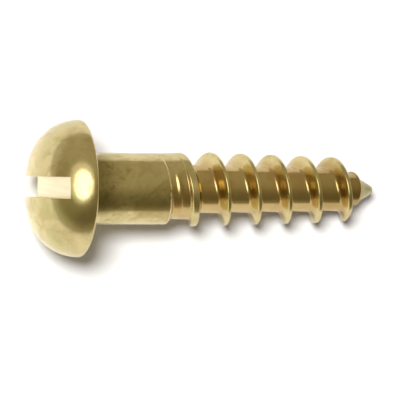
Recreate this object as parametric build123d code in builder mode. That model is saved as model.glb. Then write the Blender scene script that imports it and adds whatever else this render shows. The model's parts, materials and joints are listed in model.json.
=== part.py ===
from build123d import *

import os
from math import atan2, cos, degrees, radians, sin, tan

# A slotted round head wood screw, headed, slotted and threaded from one piece of brass wire.
#
# It is made standing on its head, as it would be turned: the screw's axis is Z, the flat face under
# the head is at z = 0, the dome is below it and the point is up. Places along the axis are heights
# over that face, and angles about the axis are in degrees from +X, where the groove starts.
# At the end it is laid down as it rests on a table: +Z is up, +X runs along the table from the head
# to the point, and the origin is on the table, under the middle of the screw.

# Head
head_diameter = 10.5
head_height = 4.1
crown_radius = 8.7
crown_angle = 18.0  # from the axis to where the rounder side of the dome begins
rim_edge = 0.2  # edges broken at 45 degrees
under_head_edge = 0.25
slot_width = 1.6
slot_depth = 2.0
slot_angle = 91.0
slot_offset = 0.1  # the slot is cut a little to one side of the axis

# Shank
shank_diameter = 5.5

# Point
screw_length = 24.1  # from the face under the head
point_end_diameter = 0.6
nose_angle = 56.0
nose_diameter = 1.74  # where the slim nose meets the blunter cone that ends the thread
thread_end_angle = 100.0

# Thread, right-handed: a groove cut between ridges
thread_diameter = 5.78
thread_end_diameter = 5.12
thread_pitch = 2.54
crest_width = 0.22
root_diameter = 3.78
root_end_diameter = 3.36
point_root_diameter = 2.5
root_corner = 0.2
head_flank_angle = 25.0  # the side of a ridge that faces the head, from square to the axis
point_flank_angle = 15.0
run_out_angle = 45.0  # the side of the groove that faces the point, where it runs out of the shank
thread_start = 6.54  # the middle of the groove where it begins to sink into the shank
sinking_turns = 0.95  # turns in which the groove reaches its full depth
run_out_narrowing = 0.2  # taken off the head's side of the groove's floor in its first turn
root_taper_end = 20.6
point_root_start = 21.9

# At rest, the angle about the screw's axis that faces up
up_angle = 78.0

# The groove is cut a quarter turn at a time, by a cutter that reaches past the blank
cuts_per_turn = 4
cutter_overshoot = 0.1

head_radius = head_diameter / 2
shank_radius = shank_diameter / 2
thread_radius = thread_diameter / 2
nose_radius = nose_diameter / 2
point_end_radius = point_end_diameter / 2
thread_end_radius = thread_end_diameter / 2
nose_place = screw_length - (nose_radius - point_end_radius) / tan(radians(nose_angle / 2))
shoulder_place = nose_place - (thread_end_radius - nose_radius) / tan(radians(thread_end_angle / 2))
full_depth_place = thread_start + thread_pitch * sinking_turns


def between(place, start, end, start_value, end_value):
    """Value at a place, going evenly from one value to another between two places."""
    share = min(max((place - start) / (end - start), 0), 1)
    return start_value + (end_value - start_value) * share


def crest_radius(place):
    """Radius of the blank that the groove is cut in, before its point is turned."""
    return between(place, full_depth_place, shoulder_place, thread_radius, thread_end_radius)


def floor_radius(place):
    """Radius of the groove's floor: it sinks into the shank, tapers, and narrows at the point."""
    tapered = between(place, full_depth_place, root_taper_end, root_diameter / 2, root_end_diameter / 2)
    sinking = between(place, thread_start, full_depth_place, shank_radius + cutter_overshoot, tapered)
    return between(place, root_taper_end, point_root_start, sinking, point_root_diameter / 2)


def floor_width(place):
    """Width of the groove's floor, which leaves a crest of the same width where the groove is deep."""
    flanks = tan(radians(head_flank_angle)) + tan(radians(point_flank_angle))
    depth = max(crest_radius(place) - floor_radius(place), (thread_diameter - root_diameter) / 2)
    return thread_pitch - crest_width - depth * flanks


def axial_plane(angle):
    """Plane through the axis: local x runs out from the axis at the angle, and local y along it."""
    out = Vector(cos(radians(angle)), sin(radians(angle)), 0)
    return Plane(origin=(0, 0, 0), x_dir=out, z_dir=out.cross(Vector(0, 0, 1)))


with BuildLine() as groove_path:
    turns = (screw_length - thread_start) / thread_pitch
    Helix(
        pitch=thread_pitch,
        height=screw_length - thread_start,
        radius=root_diameter / 2,
        center=(0, 0, thread_start),
    )

with BuildPart() as turned_screw:
    with BuildSketch(Plane.YZ):
        with BuildLine():
            crown = CenterArc((0, crown_radius - head_height), crown_radius, -90, crown_angle)
            side = TangentArc(crown @ 1, (head_radius, -rim_edge), tangent=crown % 1)
            Polyline(
                side @ 1,
                (head_radius - rim_edge, 0),
                (shank_radius + under_head_edge, 0),
                (shank_radius, under_head_edge),
                (shank_radius, thread_start),
                (thread_radius, full_depth_place),
                (thread_end_radius, shoulder_place),
                (nose_radius, nose_place),
                (point_end_radius, screw_length),
                (0, screw_length),
                (0, -head_height),
            )
        make_face()
    revolve(axis=Axis.Z)

    with BuildSketch(Plane.XY.offset(-head_height)):
        with Locations((slot_offset, 0)):
            Rectangle(2 * head_diameter, slot_width, rotation=slot_angle)
    extrude(amount=slot_depth, mode=Mode.SUBTRACT)

    cuts = round(turns * cuts_per_turn)
    for cut in range(cuts):
        for turned in (turns * cut / cuts, turns * (cut + 1) / cuts):
            place = thread_start + thread_pitch * turned
            floor = floor_radius(place)
            reach = max(crest_radius(place) + cutter_overshoot, floor + 2 * root_corner)
            towards_head = between(turned, 0.5, 1.5, run_out_angle, point_flank_angle)
            narrowed = between(turned, 1.0, 1.5, run_out_narrowing, 0)
            lower_edge = place - floor_width(place) / 2 + narrowed
            upper_edge = place + floor_width(place) / 2
            with BuildSketch(axial_plane(360 * turned)) as cut_section:
                with BuildLine():
                    Polyline(
                        (floor, lower_edge),
                        (floor, upper_edge),
                        (reach, upper_edge + (reach - floor) * tan(radians(head_flank_angle))),
                        (reach, lower_edge - (reach - floor) * tan(radians(towards_head))),
                        close=True,
                    )
                make_face()
                chamfer(cut_section.vertices().group_by(Axis.X)[0], root_corner)
        stretch = groove_path.line.edge().trim(cut / cuts, (cut + 1) / cuts)
        sweep(path=stretch, multisection=True, is_frenet=True, mode=Mode.SUBTRACT)

# It lies on the rim of its head and on the last full crest that comes round to the table.
down_angle = up_angle + 180
resting_crest = thread_start + thread_pitch * (down_angle / 360 + 0.5)
while resting_crest + thread_pitch < shoulder_place:
    resting_crest += thread_pitch
crest_edge = resting_crest + crest_width / 2
rim_to_crest = crest_edge + rim_edge
dip = atan2(head_radius - crest_radius(resting_crest), rim_to_crest)

axis_direction = Vector(cos(dip), 0, -sin(dip))
across = Vector(0, 1, 0)
lifted = axis_direction.cross(across)
start_direction = across * sin(radians(up_angle)) + lifted * cos(radians(up_angle))
lying = Plane(origin=(0, 0, 0), x_dir=start_direction, z_dir=axis_direction)
reached = turned_screw.part.moved(lying.location).bounding_box()
middle_on_table = Vector(reached.center().X, reached.center().Y, reached.min.Z)

with BuildPart(Plane(origin=-middle_on_table, x_dir=start_direction, z_dir=axis_direction)) as wood_screw:
    add(turned_screw.part)

wood_screw.part.label = "wood_screw"
os.makedirs("parts", exist_ok=True)
export_step(wood_screw.part, "parts/wood_screw.step")

print("dip of the axis", round(degrees(dip), 3))
print("bearing face centre", -middle_on_table, "axis", axis_direction)
print("slot direction", start_direction * cos(radians(slot_angle)) + axis_direction.cross(start_direction) * sin(radians(slot_angle)))
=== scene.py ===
import json
import math

import bpy
from mathutils import Matrix, Vector


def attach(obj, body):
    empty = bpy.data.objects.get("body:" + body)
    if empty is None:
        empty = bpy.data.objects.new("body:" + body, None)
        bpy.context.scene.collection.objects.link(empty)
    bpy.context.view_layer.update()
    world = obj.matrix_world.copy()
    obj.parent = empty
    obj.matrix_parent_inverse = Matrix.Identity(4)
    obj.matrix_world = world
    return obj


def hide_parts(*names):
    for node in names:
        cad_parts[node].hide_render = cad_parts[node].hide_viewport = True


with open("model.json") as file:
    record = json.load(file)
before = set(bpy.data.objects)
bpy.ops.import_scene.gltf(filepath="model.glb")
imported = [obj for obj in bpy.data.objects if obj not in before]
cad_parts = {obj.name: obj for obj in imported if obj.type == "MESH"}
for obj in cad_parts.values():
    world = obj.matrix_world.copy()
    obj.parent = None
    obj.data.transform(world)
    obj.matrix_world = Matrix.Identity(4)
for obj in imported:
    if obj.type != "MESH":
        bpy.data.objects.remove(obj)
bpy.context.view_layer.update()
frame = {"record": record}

# The screw is modelled in millimetres, standing on its head: its axis is Z, the face under the head
# is at 0, the dome is below and the point is up. It is then laid down where the frame's screw lies.
millimetre = 0.001

# distances in millimetres below which points are in one place, are merged, or are on a cut
nearby = 0.001
merging = 1e-4
hairline = 1e-5


# Finding the way about the mesh

def deselectAll():
    bpy.ops.object.select_all(action="DESELECT")


def takeUp(piece):
    deselectAll()
    piece.select_set(True)
    bpy.context.view_layer.objects.active = piece


def startPiece(name):
    piece = bpy.context.object
    piece.name = name
    piece.data.name = name
    return piece


def editMode():
    bpy.ops.object.mode_set(mode="EDIT")


def objectMode():
    bpy.ops.object.mode_set(mode="OBJECT")


def selectPoints(piece, test):
    # every edge and face whose points all pass the test is selected with them
    takeUp(piece)
    editMode()
    bpy.ops.mesh.select_mode(type="VERT")
    bpy.ops.mesh.select_all(action="DESELECT")
    objectMode()
    for point in piece.data.vertices:
        point.select = test(point.co)
    editMode()
    bpy.ops.mesh.select_mode(type="VERT")


def selectFaces(piece, test):
    takeUp(piece)
    editMode()
    bpy.ops.mesh.select_mode(type="FACE")
    bpy.ops.mesh.select_all(action="DESELECT")
    objectMode()
    for face in piece.data.polygons:
        face.select = test(face)
    editMode()


def startLine(name, place, radius):
    deselectAll()
    bpy.ops.mesh.primitive_plane_add(size=1)
    line = startPiece(name)
    editMode()
    bpy.ops.mesh.merge(type="CENTER")
    bpy.ops.transform.translate(value=(radius, 0, place))
    return line


def applyModifier(piece, modifier):
    bpy.context.view_layer.objects.active = piece
    bpy.ops.object.modifier_apply(modifier=modifier.name)


# The head, neck and the start of the shank, turned from one outline

head = {
    "diameter": 10.5,
    "height": 4.1,
    "crownRadius": 8.7,
    "crownAngle": 18.0,
    "rimRound": 0.22,
    "neckRound": 0.3,
    "crownRings": 8,
    "sideRings": 22,
    "rimRings": 5,
    "neckRings": 6,
    "slotWidth": 1.6,
    "slotDepth": 2.0,
    "slotAngle": 91.0,
    "slotOffset": 0.1,
    "slotEdge": 0.05,
    "slotReach": 0.4,  # how far past the floor of the slot its lines are drawn
}

shank = {
    "diameter": 5.5,
    "firstRing": 0.6,
    "seam": 5.6,
}

stepsPerTurn = 120
halfwayIn = 0.29  # how far in a rounded edge is, halfway round
shankRadius = shank["diameter"] / 2
slotHalfWidth = head["slotWidth"] / 2
slotFloor = head["slotDepth"] - head["height"]
slotTurn = math.radians(head["slotAngle"] - 90)
slotAcross = Vector((math.cos(slotTurn), math.sin(slotTurn), 0))
slotMiddle = Vector((head["slotOffset"], 0, slotFloor))


def roundedCorner(centre, radius, start, end, count):
    # points on an arc, with the angles in degrees from straight out and turning towards the point
    points = []
    for index in range(count + 1):
        angle = math.radians(start + (end - start) * index / count)
        points.append((centre[0] + radius * math.sin(angle), centre[1] + radius * math.cos(angle)))
    return points


def headOutline():
    rimRadius = head["diameter"] / 2
    rimRound = head["rimRound"]
    neckRound = head["neckRound"]
    crownCentre = head["crownRadius"] - head["height"]
    crownEnd = -90 + head["crownAngle"]
    outline = roundedCorner((crownCentre, 0), head["crownRadius"], -90, crownEnd, head["crownRings"])
    # the side arc leaves the crown smoothly and ends on the rim
    turnedIn = math.radians(head["crownAngle"])
    joint = Vector((outline[-1][1], outline[-1][0]))
    inwards = Vector((-math.sin(turnedIn), math.cos(turnedIn)))
    toRim = Vector((rimRadius, -rimRound)) - joint
    sideRadius = toRim.length_squared / (2 * toRim.dot(inwards))
    sideCentre = joint + inwards * sideRadius
    rimAngle = math.degrees(math.asin((-rimRound - sideCentre.y) / sideRadius))
    side = roundedCorner((sideCentre.y, sideCentre.x), sideRadius, crownEnd, rimAngle, head["sideRings"])
    outline += side[1:]
    outline += roundedCorner((-rimRound, rimRadius - rimRound), rimRound, 0, 90, head["rimRings"])[1:]
    outline.append((0, (rimRadius + shankRadius) / 2))
    outline += roundedCorner((neckRound, shankRadius + neckRound), neckRound, -90, -180, head["neckRings"])
    outline.append((shank["firstRing"], shankRadius))
    outline.append((shank["seam"] / 2, shankRadius))
    outline.append((shank["seam"], shankRadius))
    return outline


def turnHead():
    outline = headOutline()
    piece = startLine("turnedHead", *outline[0])
    for (place, radius), (nextPlace, nextRadius) in zip(outline, outline[1:]):
        step = (nextRadius - radius, 0, nextPlace - place)
        bpy.ops.mesh.extrude_vertices_move(TRANSFORM_OT_translate={"value": step})
    bpy.ops.mesh.select_all(action="SELECT")
    bpy.ops.mesh.spin(steps=stepsPerTurn, angle=2 * math.pi, center=(0, 0, 0), axis=(0, 0, 1))
    bpy.ops.mesh.select_all(action="SELECT")
    bpy.ops.mesh.remove_doubles(threshold=merging)
    bpy.ops.mesh.normals_make_consistent(inside=False)
    objectMode()
    return piece


def offSlot(place):
    # how far a place is from the middle of the slot, across it
    return (place - slotMiddle).dot(slotAcross)


def isByDome(place):
    return place.z < slotFloor + head["slotReach"]


def drawSlotLines(piece, lines):
    for side in (-1, 1):
        for out, down in lines:
            selectFaces(piece, lambda face: isByDome(face.center))
            lineMiddle = slotMiddle + slotAcross * side * (slotHalfWidth + out)
            bpy.ops.mesh.bisect(plane_co=lineMiddle, plane_no=slotAcross, threshold=hairline)
            objectMode()


def openSlot(piece):
    # the skin between the walls is cut at the floor and taken out
    selectFaces(piece, lambda face: isByDome(face.center) and abs(offSlot(face.center)) < slotHalfWidth)
    bpy.ops.mesh.bisect(plane_co=slotMiddle, plane_no=(0, 0, 1), threshold=hairline)
    objectMode()
    selectFaces(piece, lambda face: face.center.z < slotFloor and abs(offSlot(face.center)) < slotHalfWidth)
    bpy.ops.mesh.delete(type="FACE")
    objectMode()


def fillSlot(piece):
    # each wall gets its edge along the floor and then its face, and the floor is filled last
    for side in (-1, 1):
        def isOnWall(place):
            return abs(offSlot(place) - side * slotHalfWidth) < nearby and place.z < slotFloor + nearby
        selectPoints(piece, lambda place: isOnWall(place) and place.z > slotFloor - nearby)
        bpy.ops.mesh.edge_face_add()
        objectMode()
        selectPoints(piece, isOnWall)
        bpy.ops.mesh.edge_face_add()
        objectMode()
    selectPoints(piece, lambda place: abs(place.z - slotFloor) < nearby
                 and abs(offSlot(place)) < slotHalfWidth + nearby)
    bpy.ops.mesh.edge_face_add()
    objectMode()


def letDown(piece, out, down):
    # the lines at a distance from the walls are moved, except where they end by the floor
    selectPoints(piece, lambda place: place.z < slotFloor - 2 * head["slotEdge"]
                 and abs(abs(offSlot(place)) - slotHalfWidth - out) < nearby)
    bpy.ops.transform.translate(value=(0, 0, down))
    objectMode()


def cutSlot(piece):
    # how far from the wall each line is, and how far it is let down to round the slot's edge; the last
    # one keeps the shading of the rounded edge off the dome
    edge = head["slotEdge"]
    lines = ((0, edge), (halfwayIn * edge, halfwayIn * edge), (edge, 0), (2 * edge, 0))
    drawSlotLines(piece, lines)
    openSlot(piece)
    fillSlot(piece)
    for out, down in lines[:2]:
        letDown(piece, out, down)


headPiece = turnHead()
print("head turned:", len(headPiece.data.vertices), "points")
cutSlot(headPiece)
print("slot cut:", len(headPiece.data.vertices), "points")


# The thread: a strip one pitch wide, wound round the axis, whose points are set by the groove

thread = {
    "start": 6.54,
    "pitch": 2.54,
    "crestDiameter": 5.78,
    "crestEndDiameter": 5.12,
    "crestWidth": 0.22,
    "crestRound": 0.13,
    "rootDiameter": 3.78,
    "rootEndDiameter": 3.36,
    "rootTaperEnd": 20.6,
    "pointRootDiameter": 2.5,
    "pointRootStart": 21.9,
    "rootRound": 0.4,
    "startRound": 0.05,
    "roundingTurns": (0.3, 1.2),
    "ridgeHeight": 0.05,
    "ridgeWidth": 0.13,
    "ridgeTurns": (0.1, 0.42),
    "ridgeFade": 0.12,
    "headFlankAngle": 25.0,
    "pointFlankAngle": 15.0,
    "runOutAngle": 45.0,
    "runOutTurns": (0.5, 1.5),
    "runOutNarrowing": 0.2,
    "narrowingTurns": (1.0, 1.5),
    "startsOutside": 0.1,
    "sinkingTurns": 0.95,
    "turnsBefore": 1,
    "turnsAfter": 7,
}

# the rows of points that cross the strip: how far they stay close together on either side of a corner
rows = {
    "byLowerTop": 0.12,
    "byLowerCorner": 0.12,
    "byUpperCorner": 0.2,
    "byUpperTop": 0.06,
    "lowerMargin": 0.13,
    "upperMargin": 0.06,
    "byShoulder": (-0.05, -0.02, 0.01, 0.04),
}

point = {
    "length": 24.1,
    "endDiameter": 0.6,
    "endRound": 0.1,
    "noseAngle": 56.0,
    "noseDiameter": 1.74,
    "threadEndAngle": 100.0,
    "shoulderRound": 0.12,
    "seam": 22.86,
    "byNose": 0.04,  # rings on either side of where the nose begins
    "beforeEnd": 0.5,
    "endRings": ((-0.03, 0.01), (0, 0.08), (0.005, 0.28)),  # past the end, and in from its edge
}

crestRadius = thread["crestDiameter"] / 2
crestEndRadius = thread["crestEndDiameter"] / 2
noseRadius = point["noseDiameter"] / 2
noseSlope = math.tan(math.radians(point["noseAngle"] / 2))
threadEndSlope = math.tan(math.radians(point["threadEndAngle"] / 2))
nosePlace = point["length"] - (noseRadius - point["endDiameter"] / 2) / noseSlope
shoulderPlace = nosePlace - (crestEndRadius - noseRadius) / threadEndSlope
fullDepthPlace = thread["start"] + thread["pitch"] * thread["sinkingTurns"]
fullDepth = (thread["crestDiameter"] - thread["rootDiameter"]) / 2
headFlank = math.tan(math.radians(thread["headFlankAngle"]))
pointFlank = math.tan(math.radians(thread["pointFlankAngle"]))


def between(place, start, end, startValue, endValue):
    share = min(max((place - start) / (end - start), 0), 1)
    return startValue + (endValue - startValue) * share


def softMinimum(first, second, width):
    closeness = max(width - abs(first - second), 0) / width
    return min(first, second) - closeness * closeness * width / 4


def softMaximum(first, second, width):
    return -softMinimum(-first, -second, width)


def blankRadius(place):
    if place < fullDepthPlace:
        return between(place, thread["start"], fullDepthPlace, shankRadius, crestRadius)
    along = between(place, fullDepthPlace, shoulderPlace, crestRadius, crestEndRadius)
    shoulder = noseRadius + (nosePlace - place) * threadEndSlope
    if place < nosePlace:
        return softMinimum(along, shoulder, point["shoulderRound"])
    return noseRadius - (place - nosePlace) * noseSlope


def floorRadius(place):
    rootRadius = thread["rootDiameter"] / 2
    root = between(place, fullDepthPlace, thread["rootTaperEnd"], rootRadius, thread["rootEndDiameter"] / 2)
    sinking = between(place, thread["start"], fullDepthPlace, shankRadius + thread["startsOutside"], root)
    pointRootRadius = thread["pointRootDiameter"] / 2
    return between(place, thread["rootTaperEnd"], thread["pointRootStart"], sinking, pointRootRadius)


def floorWidth(depth):
    # the groove's floor leaves a crest of the same width however deep the groove is
    return thread["pitch"] - thread["crestWidth"] - depth * (headFlank + pointFlank)


def grooveSection(turned):
    # floor radius, the two edges of the floor, and the slopes of the two sides
    middle = thread["start"] + thread["pitch"] * turned
    floor = floorRadius(middle)
    crest = between(middle, fullDepthPlace, shoulderPlace, crestRadius, crestEndRadius)
    width = floorWidth(max(crest - floor, fullDepth))
    towardsHead = between(turned, *thread["runOutTurns"], thread["runOutAngle"], thread["pointFlankAngle"])
    narrowed = between(turned, *thread["narrowingTurns"], thread["runOutNarrowing"], 0)
    lowerSlope = math.tan(math.radians(towardsHead))
    return floor, middle - width / 2 + narrowed, middle + width / 2, lowerSlope, headFlank


def grooveRadius(turned, place):
    if turned < 0:
        return math.inf  # the groove hasn't begun
    floor, lowerEdge, upperEdge, lowerSlope, upperSlope = grooveSection(turned)
    side = max(floor + (lowerEdge - place) / lowerSlope, floor + (place - upperEdge) / upperSlope)
    # the tool left a fine ridge where the groove begins
    offRidge = abs(place - thread["start"] - thread["pitch"] * turned) / thread["ridgeWidth"]
    ridge = thread["ridgeHeight"] * max(1 - offRidge * offRidge, 0)
    ridgeStart, ridgeEnd = thread["ridgeTurns"]
    ridge *= between(turned, ridgeStart, ridgeStart + thread["ridgeFade"], 0, 1)
    ridge *= between(turned, ridgeEnd - thread["ridgeFade"], ridgeEnd, 1, 0)
    cornerRound = between(turned, *thread["roundingTurns"], thread["startRound"], thread["rootRound"])
    return softMaximum(floor, side, cornerRound) + ridge


def screwRadius(turned, place):
    groove = min(grooveRadius(turned + turn, place) for turn in (-1, 0, 1))
    return softMinimum(blankRadius(place), groove, thread["crestRound"])


def spread(start, end, count):
    return [start + (end - start) * index / count for index in range(count)]


def sideTop(edge, floor, slope):
    # where a side of the groove comes up to the surface that it is cut into, found step by step
    shallowest = 0.1
    deepest = 1.6
    attempts = 8
    place = edge
    for attempt in range(attempts):
        place = edge + slope * min(max(blankRadius(place) - floor, shallowest), deepest)
    return place


def sectionPlaces(turned):
    # closest together at the crest's edges and at the root's corners
    floor, lowerEdge, upperEdge, lowerSlope, upperSlope = grooveSection(turned)
    middle = thread["start"] + thread["pitch"] * turned
    crestMiddle = middle + floorWidth(fullDepth) / 2 + fullDepth * headFlank + thread["crestWidth"] / 2
    stripStart = crestMiddle - thread["pitch"]
    lowerTop = max(sideTop(lowerEdge, floor, -lowerSlope), stripStart + rows["lowerMargin"])
    upperTop = min(sideTop(upperEdge, floor, upperSlope), crestMiddle - rows["upperMargin"])
    # each stretch of the strip ends at a place and has a number of rows
    stretches = (
        (lowerTop - rows["byLowerTop"], 3),
        (lowerTop + rows["byLowerTop"], 8),
        (lowerEdge - rows["byLowerCorner"], 3),
        (lowerEdge + rows["byLowerCorner"], 6),
        (middle - thread["ridgeWidth"], 3),
        (middle + thread["ridgeWidth"], 6),
        (upperEdge - rows["byUpperCorner"], 2),
        (upperEdge + rows["byUpperCorner"], 8),
        (upperTop - rows["byUpperTop"], 4),
        (upperTop + rows["byUpperTop"], 5),
        (crestMiddle, 2),
    )
    places = []
    start = stripStart
    for end, count in stretches:
        places += spread(start, end, count)
        start = end
    # where the crest ends at the shoulder, some rows follow the shoulder
    places += [min(max(shoulderPlace + step, stripStart), crestMiddle) for step in rows["byShoulder"]]
    places.append(crestMiddle)
    # the thread begins and ends with a ring
    return [min(max(place, shank["seam"]), point["seam"]) for place in sorted(places)]


def windThread():
    pointsAcross = len(sectionPlaces(0))
    piece = startLine("threadStrip", 0, shankRadius)
    gap = (0, 0, thread["pitch"] / (pointsAcross - 1))
    for index in range(pointsAcross - 1):
        bpy.ops.mesh.extrude_vertices_move(TRANSFORM_OT_translate={"value": gap})
    objectMode()
    upTheStrip = sorted(range(pointsAcross), key=lambda index: piece.data.vertices[index].co.z)
    turns = thread["turnsBefore"] + thread["turnsAfter"]
    winding = piece.modifiers.new("winding", "SCREW")
    winding.axis = "Z"
    winding.angle = 2 * math.pi
    winding.screw_offset = thread["pitch"]
    winding.iterations = turns
    winding.steps = stepsPerTurn
    winding.render_steps = stepsPerTurn
    winding.use_merge_vertices = False
    applyModifier(piece, winding)
    for step in range(turns * stepsPerTurn + 1):
        turned = step / stepsPerTurn - thread["turnsBefore"]
        out = Vector((math.cos(2 * math.pi * turned), math.sin(2 * math.pi * turned), 0))
        for index, place in zip(upTheStrip, sectionPlaces(turned)):
            piece.data.vertices[step * pointsAcross + index].co = (
                out * screwRadius(turned, place) + Vector((0, 0, place)))
    editMode()
    bpy.ops.mesh.select_all(action="SELECT")
    bpy.ops.mesh.remove_doubles(threshold=merging)
    objectMode()
    return piece


def drawPoint(piece):
    # the open end of the thread is drawn out ring by ring, and its last ring is closed
    length = point["length"]
    onNose = (nosePlace - point["byNose"], nosePlace + point["byNose"],
              length - point["beforeEnd"], length - point["endRound"])
    rings = [(place, blankRadius(place)) for place in onNose]
    rings += [(length + past, point["endDiameter"] / 2 - inwards) for past, inwards in point["endRings"]]
    selectPoints(piece, lambda place: place.z > point["seam"] - merging)
    lastPlace, lastRadius = point["seam"], blankRadius(point["seam"])
    for place, radius in rings:
        bpy.ops.mesh.extrude_region_move(TRANSFORM_OT_translate={"value": (0, 0, place - lastPlace)})
        share = radius / lastRadius
        bpy.ops.transform.resize(value=(share, share, 1), center_override=(0, 0, place))
        lastPlace, lastRadius = place, radius
    bpy.ops.mesh.merge(type="CENTER")
    objectMode()


def joinScrew(headPiece, threadPiece):
    takeUp(headPiece)
    threadPiece.select_set(True)
    bpy.ops.object.join()
    # the two rings lie on one another, and become one
    selectPoints(headPiece, lambda place: abs(place.z - shank["seam"]) < nearby)
    bpy.ops.mesh.remove_doubles(threshold=nearby)
    bpy.ops.mesh.select_all(action="SELECT")
    bpy.ops.mesh.normals_make_consistent(inside=False)
    objectMode()
    return headPiece


threadPiece = windThread()
print("thread wound:", len(threadPiece.data.vertices), "points")
drawPoint(threadPiece)
print("point drawn")
screw = joinScrew(headPiece, threadPiece)
print("screw joined:", len(screw.data.vertices), "points")


# Laying the screw where the frame has it

lie = {
    "upAngle": 78.0,
    "shankMountPlace": 3.395,
    "smoothAngle": 50,
}

mounts = {mount["name"]: mount for mount in frame["record"]["mounts"]}
alongScrew = Vector(mounts["shank"]["axis"]).normalized()
shankMount = Vector(mounts["shank"]["pos_m"])
underHead = shankMount - alongScrew * lie["shankMountPlace"] * millimetre
acrossTable = Vector((0, 1, 0))
lifted = alongScrew.cross(acrossTable)
upAngle = math.radians(lie["upAngle"])
grooveStart = acrossTable * math.sin(upAngle) + lifted * math.cos(upAngle)
slotSide = grooveStart * math.cos(slotTurn) + alongScrew.cross(grooveStart) * math.sin(slotTurn)


def layDown(piece):
    sideways = alongScrew.cross(grooveStart)
    turn = Matrix((grooveStart, sideways, alongScrew)).transposed().to_4x4()
    piece.matrix_world = Matrix.Translation(underHead) @ turn @ Matrix.Scale(millimetre, 4)
    takeUp(piece)
    bpy.ops.object.transform_apply(location=True, rotation=True, scale=True)


layDown(screw)
screw.name = "brassScrew"
screw.data.name = "brassScrew"
takeUp(screw)
bpy.ops.object.shade_smooth_by_angle(angle=math.radians(lie["smoothAngle"]))
evenShade = screw.modifiers.new("evenShade", "WEIGHTED_NORMAL")
evenShade.keep_sharp = True
applyModifier(screw, evenShade)
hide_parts("wood_screw")
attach(screw, "root")
print("screw laid down")


# The brass

class Wire:
    # a socket of a material, so that its maths is written as plain expressions
    def __init__(self, tree, socket=None):
        self.tree = tree
        self.socket = socket

    def node(self, kind, settings, values, output=0):
        made = self.tree.nodes.new(kind)
        for name, value in settings.items():
            setattr(made, name, value)
        for name, value in values.items():
            if isinstance(value, Wire):
                self.tree.links.new(value.socket, made.inputs[name])
            else:
                made.inputs[name].default_value = value
        return Wire(self.tree, made.outputs[output])

    def beside(self, output):
        # another output of the same node
        return Wire(self.tree, self.socket.node.outputs[output])

    def maths(self, operation, first, second):
        return self.node("ShaderNodeMath", {"operation": operation}, {0: first, 1: second})

    def __add__(self, other):
        return self.maths("ADD", self, other)

    def __radd__(self, other):
        return self.maths("ADD", other, self)

    def __sub__(self, other):
        return self.maths("SUBTRACT", self, other)

    def __rsub__(self, other):
        return self.maths("SUBTRACT", other, self)

    def __mul__(self, other):
        return self.maths("MULTIPLY", self, other)

    def __rmul__(self, other):
        return self.maths("MULTIPLY", other, self)

    def __abs__(self):
        return self.maths("ABSOLUTE", self, 0)

    def vector(self, operation, other, output="Vector"):
        return self.node("ShaderNodeVectorMath", {"operation": operation}, {0: self, 1: other}, output)

    def dot(self, direction):
        return self.vector("DOT_PRODUCT", tuple(direction), "Value")

    def noise(self, size, detail=2.0, roughness=0.5, distortion=0.0):
        # size is the width of a patch in millimetres
        values = {"Vector": self, "Scale": 1 / (size * millimetre), "Detail": detail}
        values["Roughness"] = roughness
        values["Distortion"] = distortion
        return self.node("ShaderNodeTexNoise", {}, values, "Fac")

    def ramp(self, start, end):
        # from 0 to 1, smoothly, as this value goes from start to end
        values = {"Value": self, "From Min": start, "From Max": end}
        return self.node("ShaderNodeMapRange", {"interpolation_type": "SMOOTHSTEP"}, values, "Result")

    def past(self, edge, name):
        # from 0 to 1 as this value passes an edge, over one of the named fades
        start, end = fades[name]
        return self.ramp(edge + start, edge + end)

    def mixed(self, first, second):
        # the sockets for colours share their names with others, so they go by number
        return self.node("ShaderNodeMix", {"data_type": "RGBA"}, {0: self, 6: first, 7: second}, 2)

    def feed(self, socket):
        self.tree.links.new(self.socket, socket)


brass = {
    "clean": (0.77, 0.64, 0.32, 1),
    "tarnished": (0.52, 0.41, 0.15, 1),
    "grimy": (0.60, 0.40, 0.15, 1),
    "stained": (0.44, 0.30, 0.11, 1),
    # dark brass for the painted shade on the shank by the neck, and for the spots on the shank
    "neckShadeAndSpots": (0.26, 0.195, 0.065, 1),
    "greenish": (0.58, 0.55, 0.22, 1),
    "sawn": (0.96, 0.86, 0.60, 1),
    "scratched": (0.90, 0.80, 0.54, 1),
    "nose": (0.62, 0.57, 0.33, 1),
    "burr": (0.95, 0.80, 0.46, 1),
    "roughness": 0.17,
    "tarnishedRoughness": 0.3,
    "slotRoughness": 0.4,
    "noseRoughness": 0.45,
    "burrRoughness": 0.5,
    "fineGrain": 0.12,
    "fineGrainRoughness": 0.6,
    "coarseGrain": 0.9,
    "fineGrainShare": 0.25,
    "grainStrength": 0.25,
    "grainDepth": 0.02,
}

# each kind of mark is a noise with patches of a width in millimetres, shown where it is over its limits
marks = {
    "patches": {"size": 1.6, "detail": 3.0, "roughness": 0.6, "distortion": 0.4, "limits": (0.42, 0.72)},
    "specks": {"size": 0.35, "detail": 2.0, "roughness": 0.6, "distortion": 0.0, "limits": (0.5, 0.8)},
    "green": {"size": 2.72, "detail": 2.0, "roughness": 0.5, "distortion": 0.0, "limits": (0.5, 0.7)},
    "stains": {"size": 2.4, "detail": 4.0, "roughness": 0.65, "distortion": 0.6, "limits": (0.5, 0.66)},
    "spots": {"size": 0.7, "detail": 3.0, "roughness": 0.7, "distortion": 0.0, "limits": (0.53, 0.68)},
    "nicks": {"size": 0.3, "detail": 2.0, "roughness": 0.5, "distortion": 0.0, "limits": (0.3, 0.55)},
    "sawLines": {"size": 1.0, "detail": 2.0, "roughness": 0.6, "distortion": 0.0, "limits": (0.35, 0.65)},
}

# how strongly the marks show
shares = {
    "patches": 0.6,
    "specks": 0.3,
    "green": 0.4,
    "stains": 0.2,
    "stainsOnShank": 0.3,
    # how dark the painted shade by the neck is, and how much the specks fleck it
    "neck": 0.7,
    "specksInNeckShade": 0.3,
    "spots": 0.6,
    "grime": 0.6,
    "patchesOfGrime": 0.4,
    "stainsInRoots": 0.35,
    "core": 0.8,
}

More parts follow.
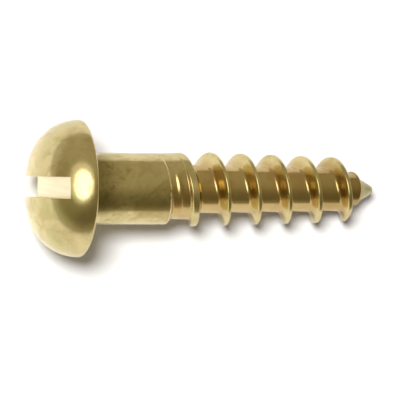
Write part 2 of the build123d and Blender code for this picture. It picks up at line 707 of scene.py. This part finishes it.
# where the parts of the screw come up or fade, in millimetres past an edge, along the axis or out from it
fades = {
    "slotWall": (0.03, -0.01),
    "slotFloor": (0.06, 0.02),
    "shankByHead": (0, 0.3),
    "shankByThread": (3, 0),
    "neckByHead": (0, 0.1),
    "neckByThread": (2.9, 0.9),
    "neckOverAxis": (1.2, 1.8),
    "spotsByThread": (6, 0),
    "rootFloor": (2.5, 1.9),
    "rootByHead": (0, 1),
    "rootByPoint": (0.1, 0),
    "startFloor": (2.74, 2.55),
    "startByHead": (-0.5, 0),
    "startByPoint": (3, 2),
    "stainedRoots": (16, 20),
    "coreFloor": (1.7, 1.4),
    "coreByHead": (0, 0.3),
    "nose": (0, 0.1),
    "burrOutside": (2.749, 2.74),
    "burrInside": (2.68, 2.71),
    "burrOffStart": (1.7, 1.1),
    "burrByHead": (-1.4, -1),
    "burrByPoint": (0.3, 0),
}
sawLineStretch = {"across": 3, "down": 3, "along": 0.2}


def makeMark(place, kind):
    mark = marks[kind]
    noise = place.noise(mark["size"], mark["detail"], mark["roughness"], mark["distortion"])
    return noise.ramp(*mark["limits"])


def findParts(along, across, fromNeck):
    # how much each spot of the brass belongs to each part of the screw
    outwards = fromNeck.vector("CROSS_PRODUCT", tuple(alongScrew / millimetre))
    radius = outwards.vector("DISTANCE", (0, 0, 0), "Value")
    overAxis = fromNeck.dot(lifted / millimetre)
    towardsStart = fromNeck.dot(grooveStart / millimetre)
    grooveEnd = thread["start"]
    parts = {}
    parts["slot"] = abs(across).past(slotHalfWidth, "slotWall") * along.past(slotFloor, "slotFloor")
    parts["shank"] = along.past(0, "shankByHead") * along.past(grooveEnd, "shankByThread")
    # the neck part is the shank's upper side by the head, where painted shade stands in for the head's
    # shaded underside that it mirrors
    parts["neck"] = along.past(0, "neckByHead") * along.past(0, "neckByThread")
    parts["neck"] *= overAxis.past(0, "neckOverAxis")
    # the spots on the shank thicken towards the head: partly mottling, partly painted shade by the head
    parts["spotted"] = parts["shank"] * along.past(0, "spotsByThread")
    root = radius.past(0, "rootFloor") * along.past(grooveEnd, "rootByHead")
    root *= along.past(nosePlace, "rootByPoint")
    start = radius.past(0, "startFloor") * along.past(grooveEnd, "startByPoint")
    start *= along.past(grooveEnd, "startByHead")
    parts["root"] = root.maths("MAXIMUM", root, start)
    parts["stainedRoot"] = parts["root"] * along.past(0, "stainedRoots")
    parts["core"] = radius.past(0, "coreFloor") * along.past(shoulderPlace, "coreByHead")
    parts["nose"] = along.past(nosePlace, "nose")
    parts["burr"] = radius.past(0, "burrOutside") * radius.past(0, "burrInside")
    parts["burr"] *= towardsStart.past(0, "burrOffStart")
    parts["burr"] *= along.past(grooveEnd, "burrByHead") * along.past(grooveEnd, "burrByPoint")
    return parts


def sawnColour(place, along, across):
    # fine lines from the saw run along the slot
    sawAlong = place.dot(alongScrew.cross(slotSide) / millimetre)
    sawPlace = place.node("ShaderNodeCombineXYZ", {}, {
        "X": across * (sawLineStretch["across"] * millimetre),
        "Y": along * (sawLineStretch["down"] * millimetre),
        "Z": sawAlong * (sawLineStretch["along"] * millimetre),
    })
    return makeMark(sawPlace, "sawLines").mixed(brass["sawn"], brass["scratched"])


def brassColour(place, parts, patches, specks, tarnish):
    colour = tarnish.mixed(brass["clean"], brass["tarnished"])
    colour = (makeMark(place, "green") * shares["green"]).mixed(colour, brass["greenish"])
    stained = makeMark(place, "stains") * (shares["stains"] + parts["shank"] * shares["stainsOnShank"])
    colour = stained.mixed(colour, brass["stained"])
    # painted shade: the upper side of the shank by the neck is darkened, standing in for the head's shaded
    # underside that it mirrors, and flecked with specks
    neckShadeAndSpots = parts["neck"] * (shares["neck"] + specks * shares["specksInNeckShade"])
    colour = neckShadeAndSpots.mixed(colour, brass["neckShadeAndSpots"])
    # dark spots: mottling on the shank, and painted shade where they thicken by the head
    spotted = makeMark(place, "spots") * parts["spotted"] * shares["spots"]
    colour = spotted.mixed(colour, brass["neckShadeAndSpots"])
    # the roots of the thread hold grime, and those towards the point are stained too
    grime = parts["root"] * (shares["grime"] + patches * shares["patchesOfGrime"])
    colour = grime.mixed(colour, brass["grimy"])
    colour = (parts["stainedRoot"] * shares["stainsInRoots"]).mixed(colour, brass["stained"])
    colour = (parts["core"] * shares["core"]).mixed(colour, brass["stained"])
    # a rough burr stands where the groove leaves the shank
    return parts["burr"].mixed(colour, brass["burr"])


def brassRoughness(parts, tarnish):
    roughness = brass["roughness"] + tarnish * (brass["tarnishedRoughness"] - brass["roughness"])
    for part in ("slot", "burr", "nose"):
        roughness += parts[part] * (brass[part + "Roughness"] - roughness)
    return roughness


def brassGrain(place):
    fine = place.noise(brass["fineGrain"], roughness=brass["fineGrainRoughness"])
    grain = fine * brass["fineGrainShare"] + place.noise(brass["coarseGrain"])
    values = {"Strength": brass["grainStrength"], "Distance": brass["grainDepth"] * millimetre}
    values["Height"] = grain
    return place.node("ShaderNodeBump", {}, values, "Normal")


def makeBrass():
    material = bpy.data.materials.new("brass")
    material.use_nodes = True
    tree = material.node_tree
    shader = tree.nodes["Principled BSDF"]
    place = Wire(tree).node("ShaderNodeTexCoord", {}, {}, "Object")
    fromNeck = place.vector("SUBTRACT", tuple(underHead))
    along = fromNeck.dot(alongScrew / millimetre)
    across = fromNeck.dot(slotSide / millimetre) - head["slotOffset"]
    parts = findParts(along, across, fromNeck)
    parts["burr"] *= makeMark(place, "nicks")
    patches = makeMark(place, "patches")
    specks = makeMark(place, "specks")
    tarnish = patches * shares["patches"] + specks * shares["specks"]
    colour = brassColour(place, parts, patches, specks, tarnish)
    # the slot was sawn last, so it is brighter and rougher than the rest
    colour = parts["slot"].mixed(colour, sawnColour(place, along, across))
    parts["nose"].mixed(colour, brass["nose"]).feed(shader.inputs["Base Color"])
    brassRoughness(parts, tarnish).feed(shader.inputs["Roughness"])
    shader.inputs["Metallic"].default_value = 1
    brassGrain(place).feed(shader.inputs["Normal"])
    return material


screw.data.materials.clear()
screw.data.materials.append(makeBrass())
print("brass made")


# The camera looks down on the screw, a little from the side of its point

camera = {
    "distance": 180.0,
    "lens": 208.7,
    "aside": 19.12,
    "aimAlong": 9.682,
    "aimAcross": -0.843,
    "roll": 0.004,
    "sensor": 36,
    "nearest": 0.01,
    "farthest": 10,
}

tableUpAngle = math.radians(90 - lie["upAngle"])
towardsLens = lifted * math.cos(tableUpAngle) - acrossTable * math.sin(tableUpAngle)
upwards = acrossTable * math.cos(tableUpAngle) + lifted * math.sin(tableUpAngle)
aside = math.radians(camera["aside"])
lensBack = towardsLens * math.cos(aside) - alongScrew * math.sin(aside)
lensRight = towardsLens * math.sin(aside) + alongScrew * math.cos(aside)


def makeCamera():
    aim = underHead + (alongScrew * camera["aimAlong"] + upwards * camera["aimAcross"]) * millimetre
    data = bpy.data.cameras.new("camera")
    data.lens = camera["lens"]
    data.sensor_width = camera["sensor"]
    data.clip_start = camera["nearest"]
    data.clip_end = camera["farthest"]
    lens = bpy.data.objects.new("camera", data)
    bpy.context.scene.collection.objects.link(lens)
    facing = Matrix((lensRight, upwards, lensBack)).transposed().to_4x4()
    turn = facing @ Matrix.Rotation(camera["roll"], 4, "Z")
    lens.matrix_world = Matrix.Translation(aim + lensBack * camera["distance"] * millimetre) @ turn
    bpy.context.scene.camera = lens


makeCamera()
print("camera set")


# The table, the room and the lights

studio = {
    "tableSize": 4.0,
    "tableColour": 0.95,
    "tableMirrored": 0.83,
    "tableSeen": 0.02,
    "tableSeenFar": 0.6,
    "tableRoughness": 0.9,
    "tableSpecular": 0.1,
    "farReach": (0.05, 0.2),
    "glowBelowDome": 0.28,
    "glowPlace": (-0.0138, 0.001, 0.0),
    "glowReach": (0.012, 0.002),
    "roomOnTable": 0.6,
    "overhead": 0.32,
    "towardsTop": 0.1,
    "towardsTopByHorizon": 0.3,
    "darkCorner": 0.08,
    "cornerLean": 1.2,
    "cornerReach": (0.1, 0.7),
    "horizon": 0.365,
    "horizonReach": (0.4, 0.0),
    "horizonByHead": 0.18,
    "byHeadReach": (-0.3, 0.7),
    "white": (1, 1, 1, 1),
    "warmShade": (1.0, 0.88, 0.5, 1),
    "warmReach": (0.2, 0.8),
    "shadowShade": (1.0, 0.92, 0.84, 1),
    "lightDistance": 0.4,
}

# the softbox and its halo are what the metal mirrors, and the key casts the shadows
lightBoxes = {
    "softbox": {"right": 1.0, "up": 6.0, "width": 42.0, "height": 47.0, "radiance": 2.2, "casts": False},
    "halo": {"right": -2.0, "up": 9.0, "width": 60.0, "height": 68.0, "radiance": 0.36, "casts": False},
    "key": {"right": -5.5, "up": 12.5, "width": 17.0, "height": 17.0, "radiance": 45.0, "casts": True},
}


def makeTable():
    deselectAll()
    bpy.ops.mesh.primitive_plane_add(size=studio["tableSize"])
    table = startPiece("table")
    material = bpy.data.materials.new("tableTop")
    material.use_nodes = True
    tree = material.node_tree
    shader = tree.nodes["Principled BSDF"]
    shader.inputs["Roughness"].default_value = studio["tableRoughness"]
    shader.inputs["Specular IOR Level"].default_value = studio["tableSpecular"]
    start = Wire(tree)
    seen = start.node("ShaderNodeLightPath", {}, {}, "Is Camera Ray")
    mirrored = seen.beside("Is Glossy Ray")
    # the metal mirrors a table that is a little darker than the one the lens sees
    colour = studio["tableColour"] - mirrored * (studio["tableColour"] - studio["tableMirrored"])
    colour.feed(shader.inputs["Base Color"])
    # the table also lights the dome and the slot from close by, as a bright card would
    place = start.node("ShaderNodeTexCoord", {}, {}, "Object")
    fromGlow = place.vector("DISTANCE", studio["glowPlace"], "Value")
    glow = fromGlow.ramp(*studio["glowReach"]) * studio["glowBelowDome"]
    # away from the screw the table is as white as the room
    faraway = fromGlow.ramp(*studio["farReach"]) * studio["tableSeenFar"]
    lift = seen * (studio["tableSeen"] + faraway) + mirrored * glow
    lift.feed(shader.inputs["Emission Color"])
    shader.inputs["Emission Strength"].default_value = 1
    table.data.materials.append(material)


def makeWorld():
    # a plain room: white for the camera, dim and warm overhead, lighter at the horizon by the head
    world = bpy.data.worlds.new("room")
    bpy.context.scene.world = world
    world.use_nodes = True
    tree = world.node_tree
    background = tree.nodes["Background"]
    start = Wire(tree)
    direction = start.node("ShaderNodeTexCoord", {}, {}, "Generated")
    top = direction.dot(upwards) * studio["towardsTop"]
    towardsCorner = (lensRight - upwards * studio["cornerLean"]).normalized()
    corner = direction.dot(towardsCorner).ramp(*studio["cornerReach"])
    overhead = studio["overhead"] + top - corner * studio["darkCorner"]
    byHead = direction.dot(-lensRight).ramp(*studio["byHeadReach"])
    horizon = studio["horizon"] + top * studio["towardsTopByHorizon"] + byHead * studio["horizonByHead"]
    low = direction.dot((0, 0, 1)).ramp(*studio["horizonReach"])
    room = overhead + low * (horizon - overhead)
    seen = start.node("ShaderNodeLightPath", {}, {}, "Is Camera Ray")
    mirrored = seen.beside("Is Glossy Ray")
    # the room lights the table less than the metal mirrors it, so that shadows are deep
    light = room * (studio["roomOnTable"] + mirrored * (1 - studio["roomOnTable"]))
    (light + seen * (1 - light)).feed(background.inputs["Strength"])
    # where the room is dim, the metal mirrors it a little warmer
    dim = mirrored * (1 - room.ramp(*studio["warmReach"]))
    shade = dim.mixed(studio["white"], studio["warmShade"])
    (1 - mirrored - seen).mixed(shade, studio["shadowShade"]).feed(background.inputs["Color"])


def makeLightBox(name, box):
    # a box is placed by how far it is to the right of the lens and above it, in degrees
    distance = studio["lightDistance"]
    right = lensRight * math.tan(math.radians(box["right"]))
    up = upwards * math.tan(math.radians(box["up"]))
    back = (lensBack + right + up).normalized()
    width = 2 * distance * math.tan(math.radians(box["width"] / 2))
    height = 2 * distance * math.tan(math.radians(box["height"] / 2))
    data = bpy.data.lights.new(name, "AREA")
    data.shape = "ELLIPSE"
    data.size = width
    data.size_y = height
    area = math.pi * width * height / 4
    data.energy = box["radiance"] * math.pi * area
    light = bpy.data.objects.new(name, data)
    bpy.context.scene.collection.objects.link(light)
    across = upwards.cross(back).normalized()
    turn = Matrix((across, back.cross(across), back)).transposed().to_4x4()
    light.matrix_world = Matrix.Translation(back * distance) @ turn
    light.visible_diffuse = box["casts"]
    light.visible_glossy = not box["casts"]


makeTable()
makeWorld()
for name, box in lightBoxes.items():
    makeLightBox(name, box)
bpy.context.scene.view_settings.view_transform = "Standard"
print("studio lit")
